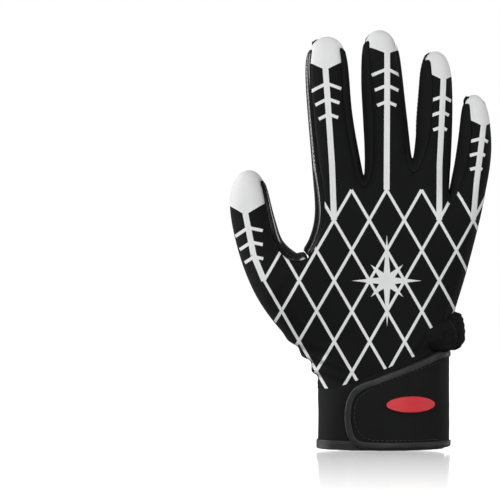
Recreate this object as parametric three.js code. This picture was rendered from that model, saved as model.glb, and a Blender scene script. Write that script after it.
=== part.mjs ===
// A right-hand football glove, standing as it does on a hand: fingers up, back of the hand towards -Y,
// thumb towards -X. It is a hollow shell sewn from panels, on a wrist cuff that a strap closes.
// Millimetres, +Z up. The origin is the middle of the wrist opening, at the cuff's lower edge.
import * as THREE from "three";

// Cloth thicknesses and the gap that two sewn pieces keep
const KNIT_WALL = 1.1;
const PALM_WALL = 1.3;
const CUFF_WALL = 2.2;
const SEAM_GAP = 0.4;
const SEAM_BEVEL = 0.38;
const SHARPEST_CORNER = 0.45;

// The angles round a finger, from the middle of its back, at which the eight cage columns stand.
// The back panel ends at BACK_SEAM, the palm panel at PALM_SEAM, and a side strip lies between them.
const BACK_SEAM = 55;
const PALM_SEAM = 112;
const SIDE_MIDDLE = (BACK_SEAM + PALM_SEAM) / 2;
const STRIP_TAPER = 0.3;
const columnAngles = (taper) => {
  const half = ((PALM_SEAM - BACK_SEAM) / 2) * taper;
  const side = [SIDE_MIDDLE - half, SIDE_MIDDLE, SIDE_MIDDLE + half];
  return [
    -side[0],
    0,
    side[0],
    side[1],
    side[2],
    180,
    -side[2],
    -side[1],
  ];
};

// A fingertip leans further to the palm than its last section's curl, by this factor.
const TIP_CURL = 1.3;

// Fingers. A section runs from (ax, az), the edge nearer the thumb, to (bx, bz). twist turns the panels
// round the finger, so that its seams show as they hang, and curl is how far the tip leans to the palm.
const FINGERS = [
  {
    name: "index",
    twist: -6,
    curl: 8,
    tip: { x: -31, z: 230.8 },
    sections: [
      { ax: -38.9, az: 152, bx: -12.2, bz: 155, thick: 23 },
      { ax: -40.2, az: 169, bx: -15.4, bz: 171, thick: 21 },
      { ax: -41.8, az: 187, bx: -17.9, bz: 188.5, thick: 19.5 },
      { ax: -42.9, az: 204, bx: -18.9, bz: 205, thick: 18.5 },
      { ax: -42.4, az: 220.4, bx: -20, bz: 221.4, thick: 15.5 },
    ],
  },
  {
    name: "middle",
    twist: 14,
    curl: 9,
    tip: { x: -1.9, z: 234.4 },
    sections: [
      { ax: -9.9, az: 158, bx: 14.6, bz: 164, thick: 23 },
      { ax: -11, az: 176, bx: 13.4, bz: 177, thick: 21.5 },
      { ax: -11.9, az: 193, bx: 11.6, bz: 193, thick: 20 },
      { ax: -12.2, az: 209, bx: 9.9, bz: 209, thick: 19 },
      { ax: -11.9, az: 224.5, bx: 8.4, bz: 224.5, thick: 16 },
    ],
  },
  {
    name: "ring",
    twist: 42,
    curl: 10,
    tip: { x: 29, z: 222.4 },
    sections: [
      { ax: 16.6, az: 164, bx: 36.6, bz: 148, thick: 21 },
      { ax: 17, az: 176, bx: 37.9, bz: 169, thick: 20 },
      { ax: 17.9, az: 188, bx: 38.4, bz: 185, thick: 18.5 },
      { ax: 19.2, az: 200, bx: 38.7, bz: 199, thick: 17.5 },
      { ax: 19.8, az: 213.4, bx: 37.8, bz: 213, thick: 14.5 },
    ],
  },
  {
    name: "little",
    twist: 38,
    curl: 8,
    tip: { x: 50.2, z: 198.2 },
    sections: [
      { ax: 36.3, az: 145, bx: 55.6, bz: 139, thick: 18.5 },
      { ax: 38.1, az: 155, bx: 58.3, bz: 151.5, thick: 17.5 },
      { ax: 40, az: 166, bx: 59.6, bz: 164, thick: 16.5 },
      { ax: 41.6, az: 177, bx: 59.3, bz: 176, thick: 15.5 },
      { ax: 42.4, az: 189.3, bx: 58.2, bz: 189, thick: 13 },
    ],
  },
];

// Thumb. Its sections run from the outer edge (ax, az) to the inner edge (bx, bz), and y is how far
// the middle of the section lies towards the palm.
const THUMB = {
  twist: 3,
  tip: { x: -75.2, y: 17, z: 157.6 },
  sections: [
    { ax: -58.5, az: 66, bx: -49, bz: 107.5, y: 4.5, thick: 36 },
    { ax: -72.6, az: 87, bx: -56.2, bz: 113, y: 8, thick: 29 },
    { ax: -80.6, az: 110, bx: -59, bz: 123.5, y: 11, thick: 25 },
    { ax: -84.4, az: 128, bx: -62, bz: 133.5, y: 13.5, thick: 22 },
    { ax: -84.8, az: 144.5, bx: -65, bz: 148.5, y: 15.5, thick: 17.5 },
  ],
};

// Hand. ax and bx are the edges at the thumb and little-finger side, back and front the depths from
// the middle plane, and square the exponent of the outline: 2 is an ellipse, more is boxier.
// The first row is where the fingers part, the last is the hem.
const HAND_ROWS = [
  { ax: -38.9, bx: 54.6, az: 139, bz: 130, back: 14, front: 13, square: 3.2 },
  { ax: -38.2, bx: 51.8, az: 122, bz: 119, back: 16, front: 15, square: 3 },
  { ax: -46.5, bx: 48.4, az: 105, bz: 105, back: 17, front: 18, square: 2.8 },
  { ax: -50, bx: 42.4, az: 78, bz: 84, back: 18, front: 21, square: 2.5 },
  { ax: -39.4, bx: 36.2, az: 47, bz: 66, back: 20.5, front: 22, square: 2.2 },
  { ax: -36, bx: 32.4, az: 34, bz: 50, back: 22.6, front: 22.6, square: 2 },
];
const DEPTH_SWELL = 1.04;
const THUMB_TOP_ROW = 2;
const THUMB_MIDDLE_ROW = 3;
const THUMB_BOTTOM_ROW = 4;

// Across the hand: the place of each of the nine columns, from -1 at the thumb side to 1, and how much
// higher than the hand's edges it stands on the row where the fingers part. Even columns between the
// first and the last run up to a crotch, odd ones up the middle of a finger.
const HAND_COLUMNS = [
  { across: -0.88, rise: 0 },
  { across: -0.7, rise: 2 },
  { across: -0.39, rise: 1.5 },
  { across: -0.12, rise: 11 },
  { across: 0.165, rise: 15.5 },
  { across: 0.38, rise: 11 },
  { across: 0.575, rise: -2.5 },
  { across: 0.78, rise: 0 },
  { across: 0.92, rise: 0 },
];
const CROTCHES = [
  { x: -10.6, z: 149 },
  { x: 15.8, z: 159.5 },
  { x: 35.2, z: 137.5 },
];

// Wrist cuff: an elliptic band, straight down from the hem
const CUFF = { centreX: -1.8, halfWidth: 34.2, halfDepth: 22.6, bottom: 1.1, hemGap: 0.6 };
const TAPE_WIDTH = 4.8;
const TAPE_THICK = 0.7;
const TAPE_GAP = 0.25;
const TAPE_CORNER = 0.4;

// The hem of the hand's panels, by the angle round the wrist: 0 is the little-finger side, 90 the back
// of the hand, 180 the thumb side. It follows the strap's slanting top edge over the back.
const HEM = [
  { angle: 0, z: 55 },
  { angle: 20, z: 56.5 },
  { angle: 40, z: 55.5 },
  { angle: 60, z: 51.5 },
  { angle: 75, z: 48 },
  { angle: 90, z: 44.2 },
  { angle: 105, z: 40.5 },
  { angle: 117, z: 37.5 },
  { angle: 132, z: 34.8 },
  { angle: 150, z: 33.6 },
  { angle: 180, z: 33.4 },
  { angle: 210, z: 34.4 },
  { angle: 240, z: 35 },
  { angle: 270, z: 35.8 },
  { angle: 290, z: 37.8 },
  { angle: 310, z: 42 },
  { angle: 330, z: 46.5 },
  { angle: 345, z: 50.5 },
  { angle: 360, z: 55 },
];

// Wrist strap: its root at the little-finger side, its slanting top edge and its round end. Lengths
// are measured along the strap from the middle of the back, and heights from the cuff's lower edge.
// edgeInset is how far the strap's own edge lies inside the edge of its tape.
const STRAP = {
  root: 49,
  rootTop: 54,
  shoulder: 31,
  shoulderTop: 52.8,
  slopeEnd: -10.5,
  slopeEndTop: 36.8,
  end: -20.4,
  bottom: 0.8,
  lift: 2.2,
  thick: 1.6,
  tape: 3.8,
  edgeInset: 1.2,
};
// The pull of the curves in the strap's outline: how far each handle lies from the corner it rounds
const STRAP_PULL = {
  root: { along: 5, up: 0.5 },
  slope: { along: 7, down: 2.8 },
  end: 9,
  foot: { along: 8, start: 2 },
};
const STRAP_TAPE_ROUND = { along: 0.7, out: 0.9, lip: 0.3 };
const STRAP_TAPE_FOLD = 0.9;
const BADGE = { along: 15.5, z: 25, width: 27, height: 9, thick: 0.9, gap: 0.3, topShare: 0.9 };

// Bunched knit on the little-finger side: a row for each height, with how far out it reaches (x) and
// how far it spreads to each side of its middle. Upright pleats ripple its outside.
const GATHER = [
  { z: 54.7, x: 41.6, spread: 6.5, y: 0.5 },
  { z: 57, x: 44.6, spread: 8.8, y: 0.5 },
  { z: 60.6, x: 44.9, spread: 9.6, y: 0 },
  { z: 63.6, x: 44.1, spread: 9.8, y: -0.5 },
  { z: 66.6, x: 43.8, spread: 9.4, y: -1 },
  { z: 69.6, x: 43.4, spread: 8.4, y: -1.5 },
  { z: 72.2, x: 42.7, spread: 7, y: -2 },
  { z: 74.2, x: 41.2, spread: 5, y: -2 },
];
const GATHER_PLEATS = 3;
const GATHER_PLEAT_DEPTH = 0.55;
const GATHER_GAP = 0.45;
const GATHER_FOOT = 56.2;

const rad = THREE.MathUtils.degToRad;
const BACKWARDS = new THREE.Vector3(0, -1, 0);

// Cage points

// The largest reach of the smooth closed curve that a ring of cage points draws, along one direction.
function smoothReach(ring, pick) {
  const values = ring.map(pick);
  const n = values.length;
  let reach = 0;
  for (let i = 0; i < n; i++) {
    const before = values[(i + n - 1) % n];
    const after = values[(i + 1) % n];
    const beyond = values[(i + 2) % n];
    const atPoint = (before + 4 * values[i] + after) / 6;
    const atEdge = (before + 23 * values[i] + 23 * after + beyond) / 48;
    reach = Math.max(reach, Math.abs(atPoint), Math.abs(atEdge));
  }
  return reach;
}

// Eight cage points round a section of a finger or the thumb. Their smooth curve is as wide and as
// thick as the section says.
function digitRing(section, twist, lean, taper) {
  const a = new THREE.Vector3(section.ax, section.y, section.az);
  const b = new THREE.Vector3(section.bx, section.y, section.bz);
  const middle = a.clone().add(b).multiplyScalar(0.5);
  const across = b.clone().sub(a);
  const width = across.length();
  across.normalize();
  const outward = BACKWARDS.clone().applyAxisAngle(across, lean);
  const unit = columnAngles(taper).map((angle) => ({
    u: Math.sin(rad(angle + twist)),
    v: Math.cos(rad(angle + twist)),
  }));
  const scaleU = width / 2 / smoothReach(unit, (p) => p.u);
  const scaleV = section.thick / 2 / smoothReach(unit, (p) => p.v);
  return unit.map((p) =>
    middle
      .clone()
      .addScaledVector(across, p.u * scaleU)
      .addScaledVector(outward, p.v * scaleV),
  );
}

// The sections of a finger with its curl worked in: y grows with the square of the way up.
function curledSections(finger) {
  const count = finger.sections.length;
  return finger.sections.map((section, i) => ({
    ...section,
    y: finger.curl * ((i + 1) / count) ** 2,
  }));
}

// Twenty cage points round the hand: nine across the back, the little-finger side, nine across the
// front and the thumb side.
function handRing(row, isTop, isHem) {
  const half = (row.bx - row.ax) / 2;
  const centre = (row.bx + row.ax) / 2;
  const depthAt = (across, depth) =>
    depth * (1 - Math.abs(across) ** row.square) ** (1 / row.square);
  const heightAt = (across) =>
    THREE.MathUtils.lerp(row.az, row.bz, (across + 1) / 2);
  const side = (column, sign, depth) =>
    new THREE.Vector3(
      centre + half * column.across,
      sign * depthAt(column.across, depth) * DEPTH_SWELL,
      heightAt(column.across) + (isTop ? column.rise : 0),
    );
  const ring = [
    ...HAND_COLUMNS.map((c) => side(c, -1, row.back)),
    new THREE.Vector3(row.bx + 1, 0, row.bz),
    ...[...HAND_COLUMNS].reverse().map((c) => side(c, 1, row.front)),
    new THREE.Vector3(row.ax - 1, 0, row.az),
  ];
  return isHem
    ? ring.map((p) => p.clone().setZ(hemHeight(wristAngle(p))))
    : ring;
}

// The glove's cage: points, and faces that each carry the name of the panel they belong to.
function gloveCage() {
  const points = [];
  const faces = [];
  const addPoint = (p) => points.push(p) - 1;
  const addFace = (panel, ...corners) => faces.push({ panel, corners });

  // The hand, with a hole on its side where the thumb leaves it
  const rows = HAND_ROWS.map((row, i) =>
    handRing(row, i === 0, i === HAND_ROWS.length - 1).map(addPoint),
  );
  const columns = rows[0].length;
  const little = HAND_COLUMNS.length;
  const thumbSide = columns - 1;
  const handPanel = (column, row) => {
    if (column <= little) return "back_panel";
    if (column >= thumbSide - 1)
      return row < THUMB_TOP_ROW ? "palm_panel" : "back_panel";
    return "palm_panel";
  };
  for (let row = 0; row < rows.length - 1; row++)
    for (let c = 0; c < columns; c++) {
      const next = (c + 1) % columns;
      const inHole =
        c >= thumbSide - 1 && row >= THUMB_TOP_ROW && row < THUMB_BOTTOM_ROW;
      if (!inHole)
        addFace(
          handPanel(c, row),
          rows[row + 1][c],
          rows[row + 1][next],
          rows[row][next],
          rows[row][c],
        );
    }

  // A digit: rings from its base to its last section, closed by a fan of eight faces at the tip
  function addDigit(base, sections, twist, tip, panelOf) {
    let below = base;
    sections.forEach((section, i) => {
      const before = sections[Math.max(i - 1, 0)];
      const after = sections[Math.min(i + 1, sections.length - 1)];
      const rise = after.az + after.bz - before.az - before.bz;
      const lean = Math.atan2(2 * (after.y - before.y), rise);
      const share = i === 0 ? 0.5 : 1;
      const taper = i === sections.length - 1 ? STRIP_TAPER : 1;
      const ring = digitRing(section, twist * share, -lean, taper).map(addPoint);
      for (let c = 0; c < ring.length; c++) {
        const next = (c + 1) % ring.length;
        addFace(panelOf(c), below[c], below[next], ring[next], ring[c]);
      }
      below = ring;
    });
    const apex = addPoint(tip);
    for (let c = 0; c < below.length; c++) {
      const near = c < 3 || c === 7 ? 0 : 4;
      addFace(panelOf(near), below[c], below[(c + 1) % below.length], apex);
    }
  }

  // Fingers: each base ring is made of the hand's top row and the middles of the crotches
  const crotches = CROTCHES.map((c) =>
    addPoint(new THREE.Vector3(c.x, 0, c.z)),
  );
  FINGERS.forEach((finger, f) => {
    const back = [0, 1, 2].map((k) => rows[0][2 * f + k]);
    const front = [2, 1, 0].map((k) => rows[0][2 * little - 2 * f - k]);
    const littleSide = f < crotches.length ? crotches[f] : rows[0][little];
    const nearSide = f > 0 ? crotches[f - 1] : rows[0][thumbSide];
    const base = [...back, littleSide, ...front, nearSide];
    const strip = (k) =>
      `fourchette_${FINGERS[k].name}_${FINGERS[k + 1].name}`;
    const panels = {
      back: "back_panel",
      littleSide: f < crotches.length ? strip(f) : "back_panel",
      front: "palm_panel",
      thumbSide: f > 0 ? strip(f - 1) : "palm_panel",
    };
    const order = ["back", "littleSide", "front", "thumbSide"];
    const sections = curledSections(finger);
    const tip = new THREE.Vector3(finger.tip.x, finger.curl * TIP_CURL, finger.tip.z);
    addDigit(
      base,
      sections,
      finger.twist,
      tip,
      (c) => panels[order[Math.floor(c / 2)]],
    );
  });

  // Thumb: its base ring is the edge of the hole
  const top = rows[THUMB_TOP_ROW];
  const middle = rows[THUMB_MIDDLE_ROW];
  const bottom = rows[THUMB_BOTTOM_ROW];
  const front = thumbSide - 1;
  const base = [
    bottom[0],
    middle[0],
    top[0],
    top[thumbSide],
    top[front],
    middle[front],
    bottom[front],
    bottom[thumbSide],
  ];
  addDigit(
    base,
    THUMB.sections,
    THUMB.twist,
    new THREE.Vector3(THUMB.tip.x, THUMB.tip.y, THUMB.tip.z),
    (c) => (c < 2 || c > 5 ? "back_panel" : "thumb_palm"),
  );
  return { points, faces };
}

// Smooth surfaces

const edgeKey = (a, b) => (a < b ? `${a}_${b}` : `${b}_${a}`);

function edgesOf(faces) {
  const edges = new Map();
  faces.forEach((face, f) =>
    face.corners.forEach((a, i) => {
      const b = face.corners[(i + 1) % face.corners.length];
      const key = edgeKey(a, b);
      if (!edges.has(key)) edges.set(key, { a, b, faces: [] });
      edges.get(key).faces.push(f);
    }),
  );
  return edges;
}

const average = (vectors) =>
  vectors
    .reduce((sum, v) => sum.add(v), new THREE.Vector3())
    .divideScalar(vectors.length);

// One round of Catmull-Clark subdivision. Faces keep their panel's name.
function subdivided({ points, faces }) {
  const edges = edgesOf(faces);
  const facePoints = faces.map((f) => average(f.corners.map((c) => points[c])));
  const around = points.map(() => ({ faces: [], edges: [] }));
  faces.forEach((f, i) => f.corners.forEach((c) => around[c].faces.push(i)));
  edges.forEach((edge) => {
    around[edge.a].edges.push(edge);
    around[edge.b].edges.push(edge);
    edge.middle = average([points[edge.a], points[edge.b]]);
  });
  const moved = points.map((p, i) => {
    const rim = around[i].edges.filter((e) => e.faces.length === 1);
    const n = around[i].faces.length;
    if (n === 0) return p;
    if (rim.length) return average([p, p, ...rim.map((e) => e.middle)]);
    return average(around[i].faces.map((f) => facePoints[f]))
      .addScaledVector(average(around[i].edges.map((e) => e.middle)), 2)
      .addScaledVector(p, n - 3)
      .divideScalar(n);
  });
  const out = [...moved, ...facePoints];
  edges.forEach((edge) => {
    const rim = edge.faces.length === 1;
    const place = rim
      ? edge.middle
      : average([
          points[edge.a],
          points[edge.b],
          ...edge.faces.map((f) => facePoints[f]),
        ]);
    edge.index = out.push(place) - 1;
  });
  const quads = faces.flatMap((face, f) =>
    face.corners.map((corner, i) => {
      const count = face.corners.length;
      const after = face.corners[(i + 1) % count];
      const before = face.corners[(i + count - 1) % count];
      return {
        panel: face.panel,
        corners: [
          corner,
          edges.get(edgeKey(corner, after)).index,
          points.length + f,
          edges.get(edgeKey(before, corner)).index,
        ],
      };
    }),
  );
  return { points: out, faces: quads };
}

// Moves each point of a quad mesh onto the smooth surface that endless subdivision would reach.
function onSmoothSurface({ points, faces }) {
  const edges = edgesOf(faces);
  const near = points.map(() => ({
    along: new THREE.Vector3(),
    rim: [],
    opposite: new THREE.Vector3(),
    count: 0,
  }));
  edges.forEach(({ a, b, faces: users }) => {
    near[a].along.add(points[b]);
    near[b].along.add(points[a]);
    if (users.length === 1) {
      near[a].rim.push(points[b]);
      near[b].rim.push(points[a]);
    }
  });
  faces.forEach(({ corners }) =>
    corners.forEach((c, i) => {
      near[c].opposite.add(points[corners[(i + 2) % 4]]);
      near[c].count += 1;
    }),
  );
  const moved = points.map((p, i) => {
    const { along, rim, opposite, count: n } = near[i];
    if (n === 0) return p;
    if (rim.length)
      return p.clone().multiplyScalar(4).add(rim[0]).add(rim[1]).divideScalar(6);
    return p
      .clone()
      .multiplyScalar(n * n)
      .addScaledVector(along, 4)
      .add(opposite)
      .divideScalar(n * (n + 5));
  });
  return { points: moved, faces };
}

function pointNormals({ points, faces }) {
  const normals = points.map(() => new THREE.Vector3());
  faces.forEach(({ corners }) => {
    const [a, b, c, d] = corners.map((i) => points[i]);
    const normal = c.clone().sub(a).cross(d.clone().sub(b));
    corners.forEach((i) => normals[i].add(normal));
  });
  return normals.map((n) => n.normalize());
}

// Solids

function geometryOf(positions, triangles) {
  const geometry = new THREE.BufferGeometry();
  const flat = positions.flatMap((p) => [p.x, p.y, p.z]);
  geometry.setAttribute(
    "position",
    new THREE.Float32BufferAttribute(flat, 3),
  );
  geometry.setIndex(triangles);
  return geometry;
}

const quadTriangles = (a, b, c, d) => [a, b, c, a, c, d];

// One panel of the glove as a closed sheet of cloth. Its edges draw back from the seams by half the
// gap, and its inside lies a wall's thickness under its outside.
function panelGeometry(mesh, normals, panel, wall) {
  const faces = mesh.faces.filter((f) => f.panel === panel);
  const used = [...new Set(faces.flatMap((f) => f.corners))];
  const local = new Map(used.map((index, i) => [index, i]));
  const next = new Map();
  const previous = new Map();
  const directed = new Set();
  faces.forEach(({ corners }) =>
    corners.forEach((a, i) => directed.add(`${a}_${corners[(i + 1) % 4]}`)),
  );
  directed.forEach((key) => {
    const [a, b] = key.split("_").map(Number);
    if (directed.has(`${b}_${a}`)) return;
    next.set(a, b);
    previous.set(b, a);
  });
  const drawnBack = used.map((index) => {
    if (!next.has(index)) return new THREE.Vector3();
    const p = mesh.points[index];
    const ahead = mesh.points[next.get(index)].clone().sub(p).normalize();
    const behind = p.clone().sub(mesh.points[previous.get(index)]).normalize();
    const along = ahead.add(behind);
    const sharpness = Math.max(SHARPEST_CORNER, along.length() / 2);
    const inward = normals[index].clone().cross(along).normalize();
    return inward.divideScalar(sharpness);
  });
  const outside = used.map((index, i) =>
    mesh.points[index].clone().addScaledVector(drawnBack[i], SEAM_GAP / 2),
  );
  const inside = outside.map((p, i) =>
    p
      .clone()
      .addScaledVector(normals[used[i]], -wall)
      .addScaledVector(drawnBack[i], SEAM_BEVEL),
  );
  const n = used.length;
  const triangles = [];
  faces.forEach(({ corners }) => {
    const [a, b, c, d] = corners.map((i) => local.get(i));
    triangles.push(...quadTriangles(a, b, c, d));
    triangles.push(...quadTriangles(n + d, n + c, n + b, n + a));
  });
  next.forEach((to, from) => {
    const a = local.get(from);
    const b = local.get(to);
    triangles.push(...quadTriangles(b, a, n + a, n + b));
  });
  return geometryOf([...outside, ...inside], triangles);
}

// A closed loft through rings of equal length. Rings may close on themselves, as round the wrist, or
// end in flat caps.
function loftGeometry(rings, { closed = false } = {}) {
  const size = rings[0].length;
  const triangles = [];
  const last = closed ? rings.length : rings.length - 1;
  for (let r = 0; r < last; r++) {
    const here = r * size;
    const there = ((r + 1) % rings.length) * size;
    for (let c = 0; c < size; c++) {
      const d = (c + 1) % size;
      triangles.push(
        ...quadTriangles(here + c, here + d, there + d, there + c),
      );
    }
  }
  if (!closed) {
    const end = (rings.length - 1) * size;
    const cap = (ring) => {
      const origin = ring[0];
      const u = ring[1].clone().sub(origin).normalize();
      const n = u
        .clone()
        .cross(ring[Math.floor(size / 2)].clone().sub(origin))
        .normalize();
      const v = n.clone().cross(u);
      const flat = ring.map(
        (p) =>
          new THREE.Vector2(
            p.clone().sub(origin).dot(u),
            p.clone().sub(origin).dot(v),
          ),
      );
      const turned = THREE.ShapeUtils.isClockWise(flat);
      return THREE.ShapeUtils.triangulateShape(flat, []).map((t) =>
        turned ? [t[0], t[2], t[1]] : t,
      );
    };
    cap(rings[0]).forEach(([a, b, c]) => triangles.push(a, c, b));
    cap(rings.at(-1)).forEach(([a, b, c]) =>
      triangles.push(end + a, end + b, end + c),
    );
  }
  return geometryOf(rings.flat(), triangles);
}

// Wrist

// A point round the wrist. angle is 0 at the little-finger side, 90 at the back of the hand and 180
// at the thumb side. out is the distance outside the cuff's surface.
function wristPoint(angle, z, out) {
  const { centreX, halfWidth: a, halfDepth: b } = CUFF;
  const c = Math.cos(rad(angle));
  const s = Math.sin(rad(angle));
  const normal = new THREE.Vector3(c / a, -s / b, 0).normalize();
  return new THREE.Vector3(centreX + a * c, -b * s, z).addScaledVector(
    normal,
    out,
  );
}

function wristAngle(p) {
  const angle = Math.atan2(
    -p.y / CUFF.halfDepth,
    (p.x - CUFF.centreX) / CUFF.halfWidth,
  );
  return (THREE.MathUtils.radToDeg(angle) + 360) % 360;
}

function hemHeight(angle) {
  const i = HEM.findIndex((row) => row.angle > angle);
  const [below, above] = [HEM[i - 1], HEM[i]];
  const share = (angle - below.angle) / (above.angle - below.angle);
  return THREE.MathUtils.lerp(below.z, above.z, share);
}

// The points of the glove's hem, in order round the wrist, and laid onto the cuff's outline
function hemLoop(mesh) {
  const rims = [...edgesOf(mesh.faces).values()].filter(
    (edge) => edge.faces.length === 1,
  );
  const loop = [...new Set(rims.flatMap(({ a, b }) => [a, b]))];
  loop.sort((a, b) => wristAngle(mesh.points[a]) - wristAngle(mesh.points[b]));
  loop.forEach((index) => {
    const p = mesh.points[index];
    p.copy(wristPoint(wristAngle(p), p.z, 0));
  });
  return loop.map((index) => mesh.points[index]);
}

// The cuff: a band from just above its bound edge to just under the hem
function cuffGeometry(hem) {
  const rings = hem.map((p) => {
    const angle = wristAngle(p);
    const top = p.z - CUFF.hemGap;
    const heights = [CUFF.bottom, top / 2, top];
    return [
      ...heights.map((z) => wristPoint(angle, z, 0)),
      ...heights.reverse().map((z) => wristPoint(angle, z, -CUFF_WALL)),
    ];
  });
  return loftGeometry(rings, { closed: true });
}

// Tape folded over the cuff's lower edge: a channel, open upwards
function cuffBindingGeometry(hem) {
  const top = TAPE_WIDTH;
  const inner = -CUFF_WALL - TAPE_GAP - TAPE_THICK;
  const outer = TAPE_GAP + TAPE_THICK;
  const section = [
    [inner, TAPE_CORNER],
    [inner + TAPE_CORNER, 0],
    [outer - TAPE_CORNER, 0],
    [outer, TAPE_CORNER],
    [outer, top - TAPE_CORNER],
    [outer - TAPE_CORNER, top],
    [TAPE_GAP, top],
    [TAPE_GAP, TAPE_THICK],
    [-CUFF_WALL - TAPE_GAP, TAPE_THICK],
    [-CUFF_WALL - TAPE_GAP, top],
    [inner, top],
  ];
  const rings = hem.map((p) =>
    section.map(([out, z]) => wristPoint(wristAngle(p), z, out)),
  );
  return loftGeometry(rings, { closed: true });
}

// Strap

// The strap's outline, laid flat: from the root along the top, round the end and back along the bottom.
// Each stop has the direction that leads into the strap.
function strapOutline() {
  const s = STRAP;
  const pull = STRAP_PULL;
  const shape = new THREE.Shape();
  shape.moveTo(s.root, s.rootTop);
  shape.quadraticCurveTo(
    s.shoulder + pull.root.along,
    s.rootTop + pull.root.up,
    s.shoulder,
    s.shoulderTop,
  );
  shape.lineTo(s.slopeEnd, s.slopeEndTop);
  const middle = (s.slopeEndTop + s.bottom) / 2;
  shape.bezierCurveTo(
    s.slopeEnd - pull.slope.along,
    s.slopeEndTop - pull.slope.down,
    s.end,
    middle + pull.end,
    s.end,
    middle,
  );
  shape.bezierCurveTo(
    s.end,
    middle - pull.end,
    s.slopeEnd - pull.foot.along,
    s.bottom,
    s.slopeEnd + pull.foot.start,
    s.bottom,
  );
  shape.lineTo(s.shoulder, s.bottom);
  shape.lineTo(s.root, s.bottom);
  const steps = [6, 10, 6, 6, 10, 6];
  const points = shape.curves.flatMap((curve, i) =>
    curve.getPoints(steps[i]).slice(i === 0 ? 0 : 1),
  );
  return points.map((p, i) => {
    const before = points[Math.max(i - 1, 0)];
    const after = points[Math.min(i + 1, points.length - 1)];
    const along = after.clone().sub(before).normalize();
    return { at: p, inward: new THREE.Vector2(-along.y, along.x) };
  });
}

// A point of the strap that lies at a length along it from the middle of the back
function onStrap(along, z, out) {
  const step = Math.sign(along);
  let angle = 90;
  let left = Math.abs(along);
  while (left > 0) {
    const here = wristPoint(angle, 0, STRAP.lift);
    const length = here.distanceTo(wristPoint(angle - step, 0, STRAP.lift));
    angle -= step * Math.min(1, left / length);
    left -= length;
  }
  return wristPoint(angle, z, out);
}

function tapedPoint(stop, inwards, out) {
  const p = stop.at.clone().addScaledVector(stop.inward, inwards);
  return onStrap(p.x, p.y, out);
}

// Tape folded over the strap's edge: a channel that opens into the strap
function strapBindingGeometry() {
  const { lift, thick, tape } = STRAP;
  const low = lift - TAPE_GAP - TAPE_THICK;
  const high = lift + thick + TAPE_GAP + TAPE_THICK;
  const round = STRAP_TAPE_ROUND;
  const section = [
    [tape, low],
    [round.along, low],
    [0, low + round.out],
    [0, high - round.out],
    [round.along, high],
    [tape - round.lip, high],
    [tape, high - round.lip],
    [tape, high - TAPE_THICK],
    [STRAP_TAPE_FOLD, high - TAPE_THICK],
    [STRAP_TAPE_FOLD, low + TAPE_THICK],
    [tape, low + TAPE_THICK],
  ];
  const rings = strapOutline().map((stop) =>
    section.map(([inwards, out]) => tapedPoint(stop, inwards, out)).reverse(),
  );
  return loftGeometry(rings);
}

// The strap itself: a bent plate whose edge lies inside the tape. It is lofted from the root to the
// round end through upright slices between its bottom and top edges.
function strapGeometry() {
  const stops = strapOutline().map((stop) =>
    stop.at.clone().addScaledVector(stop.inward, STRAP.edgeInset),
  );
  const half = (stops.length - 1) / 2;
  const rings = [];
  const levels = 5;
  for (let i = 0; i < half; i++) {
    const top = stops[i];
    const bottom = stops[stops.length - 1 - i];
    const slice = (out) =>
      Array.from({ length: levels }, (_, k) => {
        const p = bottom.clone().lerp(top, k / (levels - 1));
        return onStrap(p.x, p.y, out);
      });
    const under = slice(STRAP.lift);
    const over = slice(STRAP.lift + STRAP.thick);
    rings.push([...under, ...over.reverse()]);
  }
  return loftGeometry(rings.map((r) => r.reverse()));
}

// A plain raised patch on the strap: a long oval that follows the strap's bend, as slices along it
function badgeGeometry() {
  const slices = 15;
  const levels = 5;
  const base = STRAP.lift + STRAP.thick + BADGE.gap;
  const rings = [];
  for (let i = 0; i < slices; i++) {
    const turn = Math.PI * (0.03 + (0.94 * i) / (slices - 1));
    const along = BADGE.along + (BADGE.width / 2) * Math.cos(turn);
    const half = (BADGE.height / 2) * Math.sin(turn);
    const row = (out, share) =>
      Array.from({ length: levels }, (_, k) => {
        const z = BADGE.z + share * half * ((2 * k) / (levels - 1) - 1);
        return onStrap(along, z, out);
      });
    rings.push([
      ...row(base + BADGE.thick, BADGE.topShare),
      ...row(base, 1).reverse(),
    ]);
  }
  return loftGeometry(rings);
}

// Side gather

// The bunch hugs the hand: its inside keeps the seam gap from the smooth surface, and its outside
// swells to the reach of each row, with pleats.
function gatherGeometry(mesh) {
  const triangles = mesh.faces.flatMap(({ corners: [a, b, c, d] }) =>
    quadTriangles(a, b, c, d),
  );
  const skin = new THREE.Mesh(
    geometryOf(mesh.points, triangles),
    new THREE.MeshBasicMaterial(),
  );
  const caster = new THREE.Raycaster();
  const inwards = new THREE.Vector3(-1, 0, 0);
  const sideOfHand = (y, z) => {
    caster.set(new THREE.Vector3(90, y, Math.max(z, GATHER_FOOT)), inwards);
    return caster.intersectObject(skin)[0].point.x;
  };
  const steps = 16;
  const rings = GATHER.map((row) => {
    const outer = [];
    const inner = [];
    const middle = sideOfHand(row.y, row.z);
    for (let i = 0; i <= steps; i++) {
      const across = (2 * i) / steps - 1;
      const y = row.y + row.spread * across;
      const base = sideOfHand(y, row.z) + GATHER_GAP;
      const swell = (1 - across * across) ** 0.55;
      const pleat = Math.cos(GATHER_PLEATS * Math.PI * across);
      const reach = row.x - middle - GATHER_PLEAT_DEPTH * (1 - pleat) * swell;
      const height = Math.max(0.5, (reach - GATHER_GAP) * swell);
      outer.push(new THREE.Vector3(base + height, y, row.z));
      inner.push(new THREE.Vector3(base, y, row.z));
    }
    return [...outer, ...inner.reverse()];
  });
  return loftGeometry(rings);
}

// The glove

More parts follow.
